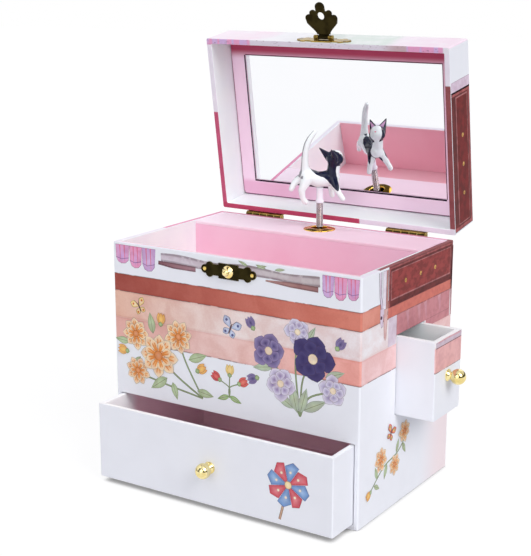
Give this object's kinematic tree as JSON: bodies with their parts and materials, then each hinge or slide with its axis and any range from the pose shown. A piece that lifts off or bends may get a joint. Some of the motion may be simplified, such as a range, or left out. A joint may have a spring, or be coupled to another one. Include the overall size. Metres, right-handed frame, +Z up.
{
  "type": "wind-up music box",
  "caption": "Paper-covered music box: hinged mirror lid with hasp, tray, front and side drawers, and a key-wound comb movement turning a kitten on a spring.",
  "frame": {"origin": "centre of the case's flat underside, on the table", "axes": "+X to the right, towards the side drawer; +Y to the back, where the hinges and the key are; +Z up"},
  "size_m": [0.205, 0.1745, 0.2839],
  "materials": {
    "white_paper": "white paper wrap on fibreboard, satin",
    "printed_paper": "printed paper wrap on fibreboard, satin",
    "pink_paper": "pink paper on fibreboard, satin",
    "rose_paper": "dusky rose paper lining",
    "mirror_glass": "silvered glass",
    "brass_polished": "polished brass plate",
    "steel": "bright steel",
    "cast_zinc": "cast zinc plate",
    "movement_brass": "plain brass",
    "figure_gloss": "glossy painted plastic, white with navy patches",
    "collar_plastic": "white plastic"
  },
  "bodies": {
    "case": {"bottom_panel": "white_paper", "left_side_panel": "white_paper", "right_side_panel": "printed_paper", "front_panel": "printed_paper", "back_panel": "white_paper", "drawer_shelf": "white_paper", "side_drawer_bay": "white_paper", "tray_floor": "pink_paper", "deck_wall": "pink_paper", "deck_panel": "pink_paper", "tray_liner": "white_paper", "spindle_ring": "brass_polished", "catch_plate": "brass_polished", "catch_stud": "brass_polished", "catch_pins": "brass_polished", "hinge_body_leaves": "brass_polished", "hinge_body_screws": "brass_polished", "hinge_pins": "brass_polished", "bedplate": "cast_zinc", "movement_screws": "steel", "spring_housing": "movement_brass", "mainspring": "steel", "tone_comb": "steel", "comb_screws": "steel", "governor_frame": "steel", "spindle_bracket": "steel"},
    "lid": {"lid_top_panel": "printed_paper", "lid_front_wall": "white_paper", "lid_back_wall": "white_paper", "lid_side_walls": "printed_paper", "mirror": "mirror_glass", "mirror_mat": "pink_paper", "hinge_lid_leaves": "brass_polished", "hinge_lid_screws": "brass_polished", "hasp_plate": "brass_polished", "hasp_pin": "brass_polished"},
    "hasp": {"hasp": "brass_polished"},
    "front_drawer": {"front_drawer_face": "white_paper", "front_drawer_sides": "white_paper", "front_drawer_back": "white_paper", "front_drawer_bottom": "rose_paper", "front_drawer_knob": "brass_polished", "front_knob_screw": "steel"},
    "side_drawer": {"side_drawer_face": "printed_paper", "side_drawer_sides": "white_paper", "side_drawer_back": "white_paper", "side_drawer_bottom": "white_paper", "side_drawer_knob": "brass_polished", "side_knob_screw": "steel"},
    "key": {"winding_key": "steel", "winding_arbor": "steel", "great_wheel": "movement_brass"},
    "cylinder": {"note_cylinder": "movement_brass"},
    "governor": {"governor_wheel": "movement_brass"},
    "fan": {"air_fan": "movement_brass"},
    "spindle": {"spindle": "steel"},
    "spring": {"coil_spring": "steel"},
    "figure": {"figure_collar": "collar_plastic", "kitten": "figure_gloss"}
  },
  "joints": [
    {"name": "lid_hinge", "type": "hinge", "parent": "case", "child": "lid", "pos_m": [0, 0.0592, 0.145], "axis": [-1, 0, 0], "range_deg": [-81, 0]},
    {"name": "hasp_swing", "type": "hinge", "parent": "lid", "child": "hasp", "pos_m": [-0.0008, 0.046, 0.26289], "axis": [-1, 0, 0], "range_deg": [-80, 100]},
    {"name": "front_drawer_slide", "type": "slide", "parent": "case", "child": "front_drawer", "axis": [0, -1, 0], "range_m": [-0.022, 0.06]},
    {"name": "side_drawer_slide", "type": "slide", "parent": "case", "child": "side_drawer", "axis": [1, 0, 0], "range_m": [-0.024, 0.02]},
    {"name": "key_spin", "type": "hinge", "parent": "case", "child": "key", "pos_m": [0, 0.057, 0.108], "axis": [0, 1, 0], "continuous": true},
    {"name": "cylinder_spin", "type": "hinge", "parent": "case", "child": "cylinder", "pos_m": [-0.0265, 0.042, 0.108], "axis": [1, 0, 0], "continuous": true},
    {"name": "governor_spin", "type": "hinge", "parent": "case", "child": "governor", "pos_m": [-0.041, 0.042, 0.118], "axis": [1, 0, 0], "continuous": true},
    {"name": "fan_spin", "type": "hinge", "parent": "case", "child": "fan", "pos_m": [-0.0448, 0.03603, 0.118], "axis": [0, 0, 1], "continuous": true},
    {"name": "spindle_spin", "type": "hinge", "parent": "case", "child": "spindle", "pos_m": [0, 0.042, 0.119], "axis": [0, 0, 1], "continuous": true},
    {"name": "figure_fold", "type": "hinge", "parent": "case", "child": "spring", "pos_m": [0, 0.042, 0.15325], "axis": [0.788, 0.6157, 0], "range_deg": [0, 90], "deforming": ["coil_spring"]},
    {"name": "figure_spin", "type": "hinge", "parent": "spring", "child": "figure", "pos_m": [0, 0.042, 0.15325], "axis": [0, 0, 1], "continuous": true}
  ],
  "couplings": [
    {"joint": "cylinder_spin", "follows": "key_spin", "ratio": 4},
    {"joint": "governor_spin", "follows": "key_spin", "ratio": -12},
    {"joint": "fan_spin", "follows": "key_spin", "ratio": -240},
    {"joint": "spindle_spin", "follows": "key_spin", "ratio": -4},
    {"joint": "figure_spin", "follows": "key_spin", "ratio": -4},
    {"joint": "figure_fold", "follows": "lid_hinge", "ratio": -1.1111}
  ]
}
